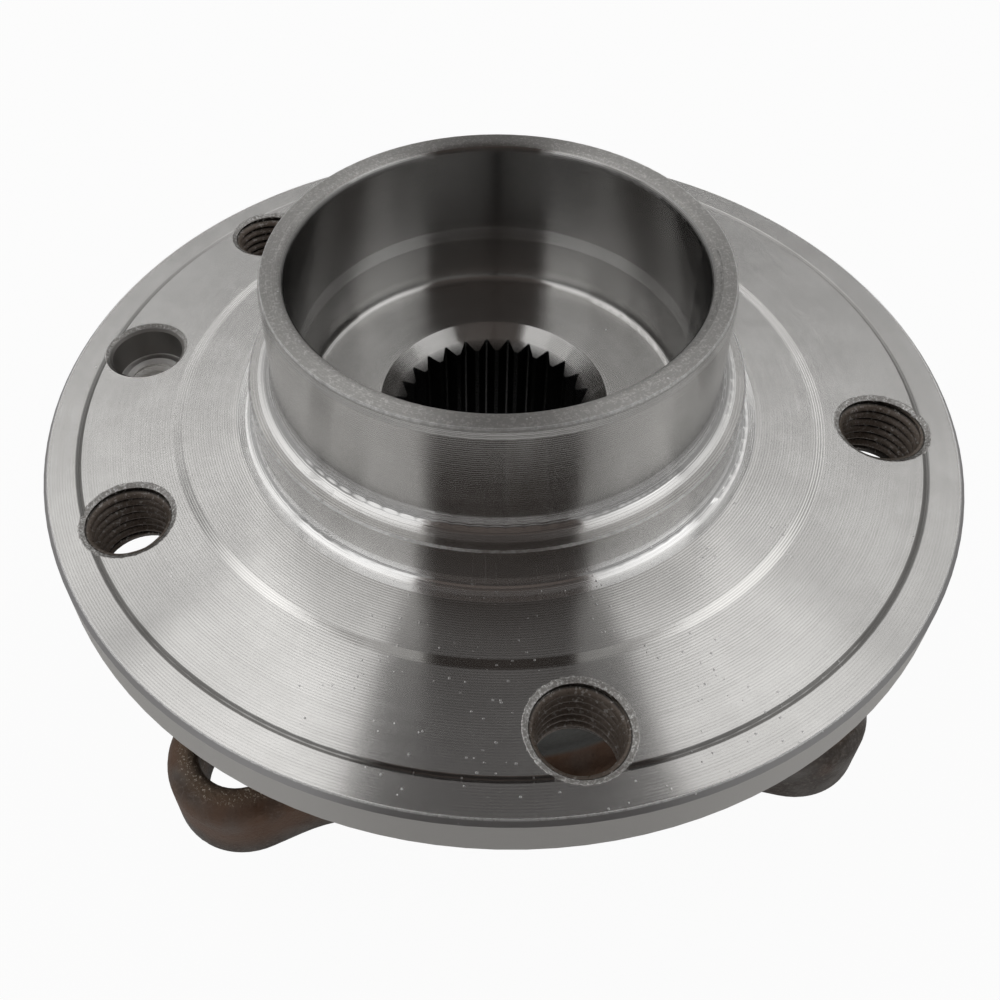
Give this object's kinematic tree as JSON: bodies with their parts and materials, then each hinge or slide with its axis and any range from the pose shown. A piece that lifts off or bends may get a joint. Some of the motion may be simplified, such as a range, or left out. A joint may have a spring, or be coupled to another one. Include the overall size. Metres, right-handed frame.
{
  "type": "wheel hub bearing",
  "caption": "Flanged wheel hub on a double-row ball bearing, with a splined bore for the drive shaft and an eared outer ring that bolts to the steering knuckle.",
  "frame": {"origin": "centre of the wheel-bolt circle, on the flange face that the brake disc seats on", "axes": "+Z along the axis of rotation, outboard towards the wheel; +Y through the third ear of the outer ring"},
  "size_m": [0.1354, 0.1354, 0.092],
  "materials": {
    "turned_steel": "finely turned bare steel, oiled",
    "forging": "hot-forged steel with dark brown scale",
    "bearing_steel": "ground bearing steel",
    "ball_steel": "polished bearing steel",
    "cage_plastic": "glass-filled polyamide",
    "seal_steel": "pressed stainless sheet",
    "seal_rubber": "nitrile rubber",
    "encoder_rubber": "ferrite-filled rubber"
  },
  "bodies": {
    "housing": {"outer_ring": "forging", "seal_outboard_core": "seal_steel", "seal_outboard_lips": "seal_rubber", "seal_inboard_core": "seal_steel", "seal_inboard_lips": "seal_rubber"},
    "hub": {"hub_flange": "turned_steel", "inner_ring": "bearing_steel", "slinger": "seal_steel", "encoder_ring": "encoder_rubber"},
    "outboard_cage": {"cage_outboard": "cage_plastic"},
    "outboard_ball_01": {"ball_outboard_01": "ball_steel"},
    "outboard_ball_02": {"ball_outboard_02": "ball_steel"},
    "outboard_ball_03": {"ball_outboard_03": "ball_steel"},
    "outboard_ball_04": {"ball_outboard_04": "ball_steel"},
    "outboard_ball_05": {"ball_outboard_05": "ball_steel"},
    "outboard_ball_06": {"ball_outboard_06": "ball_steel"},
    "outboard_ball_07": {"ball_outboard_07": "ball_steel"},
    "outboard_ball_08": {"ball_outboard_08": "ball_steel"},
    "outboard_ball_09": {"ball_outboard_09": "ball_steel"},
    "outboard_ball_10": {"ball_outboard_10": "ball_steel"},
    "outboard_ball_11": {"ball_outboard_11": "ball_steel"},
    "outboard_ball_12": {"ball_outboard_12": "ball_steel"},
    "outboard_ball_13": {"ball_outboard_13": "ball_steel"},
    "inboard_cage": {"cage_inboard": "cage_plastic"},
    "inboard_ball_01": {"ball_inboard_01": "ball_steel"},
    "inboard_ball_02": {"ball_inboard_02": "ball_steel"},
    "inboard_ball_03": {"ball_inboard_03": "ball_steel"},
    "inboard_ball_04": {"ball_inboard_04": "ball_steel"},
    "inboard_ball_05": {"ball_inboard_05": "ball_steel"},
    "inboard_ball_06": {"ball_inboard_06": "ball_steel"},
    "inboard_ball_07": {"ball_inboard_07": "ball_steel"},
    "inboard_ball_08": {"ball_inboard_08": "ball_steel"},
    "inboard_ball_09": {"ball_inboard_09": "ball_steel"},
    "inboard_ball_10": {"ball_inboard_10": "ball_steel"},
    "inboard_ball_11": {"ball_inboard_11": "ball_steel"},
    "inboard_ball_12": {"ball_inboard_12": "ball_steel"},
    "inboard_ball_13": {"ball_inboard_13": "ball_steel"}
  },
  "joints": [
    {"name": "hub_spin", "type": "hinge", "parent": "housing", "child": "hub", "pos_m": [0, 0, -0.0395], "axis": [0, 0, 1], "continuous": true},
    {"name": "outboard_cage_orbit", "type": "hinge", "parent": "housing", "child": "outboard_cage", "pos_m": [0, 0, -0.028], "axis": [0, 0, 1], "continuous": true},
    {"name": "outboard_ball_01_roll", "type": "hinge", "parent": "outboard_cage", "child": "outboard_ball_01", "pos_m": [0, 0.03, -0.028], "axis": [0, 0.6157, 0.788], "continuous": true},
    {"name": "outboard_ball_02_roll", "type": "hinge", "parent": "outboard_cage", "child": "outboard_ball_02", "pos_m": [-0.01394, 0.02656, -0.028], "axis": [-0.2861, 0.5451, 0.788], "continuous": true},
    {"name": "outboard_ball_03_roll", "type": "hinge", "parent": "outboard_cage", "child": "outboard_ball_03", "pos_m": [-0.02469, 0.01704, -0.028], "axis": [-0.5067, 0.3497, 0.788], "continuous": true},
    {"name": "outboard_ball_04_roll", "type": "hinge", "parent": "outboard_cage", "child": "outboard_ball_04", "pos_m": [-0.02978, 0.00362, -0.028], "axis": [-0.6112, 0.0742, 0.788], "continuous": true},
    {"name": "outboard_ball_05_roll", "type": "hinge", "parent": "outboard_cage", "child": "outboard_ball_05", "pos_m": [-0.02805, -0.01064, -0.028], "axis": [-0.5757, -0.2183, 0.788], "continuous": true},
    {"name": "outboard_ball_06_roll", "type": "hinge", "parent": "outboard_cage", "child": "outboard_ball_06", "pos_m": [-0.01989, -0.02246, -0.028], "axis": [-0.4083, -0.4608, 0.788], "continuous": true},
    {"name": "outboard_ball_07_roll", "type": "hinge", "parent": "outboard_cage", "child": "outboard_ball_07", "pos_m": [-0.00718, -0.02913, -0.028], "axis": [-0.1473, -0.5978, 0.788], "continuous": true},
    {"name": "outboard_ball_08_roll", "type": "hinge", "parent": "outboard_cage", "child": "outboard_ball_08", "pos_m": [0.00718, -0.02913, -0.028], "axis": [0.1473, -0.5978, 0.788], "continuous": true},
    {"name": "outboard_ball_09_roll", "type": "hinge", "parent": "outboard_cage", "child": "outboard_ball_09", "pos_m": [0.01989, -0.02246, -0.028], "axis": [0.4083, -0.4608, 0.788], "continuous": true},
    {"name": "outboard_ball_10_roll", "type": "hinge", "parent": "outboard_cage", "child": "outboard_ball_10", "pos_m": [0.02805, -0.01064, -0.028], "axis": [0.5757, -0.2183, 0.788], "continuous": true},
    {"name": "outboard_ball_11_roll", "type": "hinge", "parent": "outboard_cage", "child": "outboard_ball_11", "pos_m": [0.02978, 0.00362, -0.028], "axis": [0.6112, 0.0742, 0.788], "continuous": true},
    {"name": "outboard_ball_12_roll", "type": "hinge", "parent": "outboard_cage", "child": "outboard_ball_12", "pos_m": [0.02469, 0.01704, -0.028], "axis": [0.5067, 0.3497, 0.788], "continuous": true},
    {"name": "outboard_ball_13_roll", "type": "hinge", "parent": "outboard_cage", "child": "outboard_ball_13", "pos_m": [0.01394, 0.02656, -0.028], "axis": [0.2861, 0.5451, 0.788], "continuous": true},
    {"name": "inboard_cage_orbit", "type": "hinge", "parent": "housing", "child": "inboard_cage", "pos_m": [0, 0, -0.051], "axis": [0, 0, 1], "continuous": true},
    {"name": "inboard_ball_01_roll", "type": "hinge", "parent": "inboard_cage", "child": "inboard_ball_01", "pos_m": [0, 0.03, -0.051], "axis": [0, -0.6157, 0.788], "continuous": true},
    {"name": "inboard_ball_02_roll", "type": "hinge", "parent": "inboard_cage", "child": "inboard_ball_02", "pos_m": [-0.01394, 0.02656, -0.051], "axis": [0.2861, -0.5451, 0.788], "continuous": true},
    {"name": "inboard_ball_03_roll", "type": "hinge", "parent": "inboard_cage", "child": "inboard_ball_03", "pos_m": [-0.02469, 0.01704, -0.051], "axis": [0.5067, -0.3497, 0.788], "continuous": true},
    {"name": "inboard_ball_04_roll", "type": "hinge", "parent": "inboard_cage", "child": "inboard_ball_04", "pos_m": [-0.02978, 0.00362, -0.051], "axis": [0.6112, -0.0742, 0.788], "continuous": true},
    {"name": "inboard_ball_05_roll", "type": "hinge", "parent": "inboard_cage", "child": "inboard_ball_05", "pos_m": [-0.02805, -0.01064, -0.051], "axis": [0.5757, 0.2183, 0.788], "continuous": true},
    {"name": "inboard_ball_06_roll", "type": "hinge", "parent": "inboard_cage", "child": "inboard_ball_06", "pos_m": [-0.01989, -0.02246, -0.051], "axis": [0.4083, 0.4608, 0.788], "continuous": true},
    {"name": "inboard_ball_07_roll", "type": "hinge", "parent": "inboard_cage", "child": "inboard_ball_07", "pos_m": [-0.00718, -0.02913, -0.051], "axis": [0.1473, 0.5978, 0.788], "continuous": true},
    {"name": "inboard_ball_08_roll", "type": "hinge", "parent": "inboard_cage", "child": "inboard_ball_08", "pos_m": [0.00718, -0.02913, -0.051], "axis": [-0.1473, 0.5978, 0.788], "continuous": true},
    {"name": "inboard_ball_09_roll", "type": "hinge", "parent": "inboard_cage", "child": "inboard_ball_09", "pos_m": [0.01989, -0.02246, -0.051], "axis": [-0.4083, 0.4608, 0.788], "continuous": true},
    {"name": "inboard_ball_10_roll", "type": "hinge", "parent": "inboard_cage", "child": "inboard_ball_10", "pos_m": [0.02805, -0.01064, -0.051], "axis": [-0.5757, 0.2183, 0.788], "continuous": true},
    {"name": "inboard_ball_11_roll", "type": "hinge", "parent": "inboard_cage", "child": "inboard_ball_11", "pos_m": [0.02978, 0.00362, -0.051], "axis": [-0.6112, -0.0742, 0.788], "continuous": true},
    {"name": "inboard_ball_12_roll", "type": "hinge", "parent": "inboard_cage", "child": "inboard_ball_12", "pos_m": [0.02469, 0.01704, -0.051], "axis": [-0.5067, -0.3497, 0.788], "continuous": true},
    {"name": "inboard_ball_13_roll", "type": "hinge", "parent": "inboard_cage", "child": "inboard_ball_13", "pos_m": [0.01394, 0.02656, -0.051], "axis": [-0.2861, -0.5451, 0.788], "continuous": true}
  ],
  "couplings": [
    {"joint": "outboard_cage_orbit", "follows": "hub_spin", "ratio": 0.4166},
    {"joint": "outboard_ball_01_roll", "follows": "hub_spin", "ratio": -2.2965},
    {"joint": "outboard_ball_02_roll", "follows": "hub_spin", "ratio": -2.2965},
    {"joint": "outboard_ball_03_roll", "follows": "hub_spin", "ratio": -2.2965},
    {"joint": "outboard_ball_04_roll", "follows": "hub_spin", "ratio": -2.2965},
    {"joint": "outboard_ball_05_roll", "follows": "hub_spin", "ratio": -2.2965},
    {"joint": "outboard_ball_06_roll", "follows": "hub_spin", "ratio": -2.2965},
    {"joint": "outboard_ball_07_roll", "follows": "hub_spin", "ratio": -2.2965},
    {"joint": "outboard_ball_08_roll", "follows": "hub_spin", "ratio": -2.2965},
    {"joint": "outboard_ball_09_roll", "follows": "hub_spin", "ratio": -2.2965},
    {"joint": "outboard_ball_10_roll", "follows": "hub_spin", "ratio": -2.2965},
    {"joint": "outboard_ball_11_roll", "follows": "hub_spin", "ratio": -2.2965},
    {"joint": "outboard_ball_12_roll", "follows": "hub_spin", "ratio": -2.2965},
    {"joint": "outboard_ball_13_roll", "follows": "hub_spin", "ratio": -2.2965},
    {"joint": "inboard_cage_orbit", "follows": "hub_spin", "ratio": 0.4166},
    {"joint": "inboard_ball_01_roll", "follows": "hub_spin", "ratio": -2.2965},
    {"joint": "inboard_ball_02_roll", "follows": "hub_spin", "ratio": -2.2965},
    {"joint": "inboard_ball_03_roll", "follows": "hub_spin", "ratio": -2.2965},
    {"joint": "inboard_ball_04_roll", "follows": "hub_spin", "ratio": -2.2965},
    {"joint": "inboard_ball_05_roll", "follows": "hub_spin", "ratio": -2.2965},
    {"joint": "inboard_ball_06_roll", "follows": "hub_spin", "ratio": -2.2965},
    {"joint": "inboard_ball_07_roll", "follows": "hub_spin", "ratio": -2.2965},
    {"joint": "inboard_ball_08_roll", "follows": "hub_spin", "ratio": -2.2965},
    {"joint": "inboard_ball_09_roll", "follows": "hub_spin", "ratio": -2.2965},
    {"joint": "inboard_ball_10_roll", "follows": "hub_spin", "ratio": -2.2965},
    {"joint": "inboard_ball_11_roll", "follows": "hub_spin", "ratio": -2.2965},
    {"joint": "inboard_ball_12_roll", "follows": "hub_spin", "ratio": -2.2965},
    {"joint": "inboard_ball_13_roll", "follows": "hub_spin", "ratio": -2.2965}
  ]
}
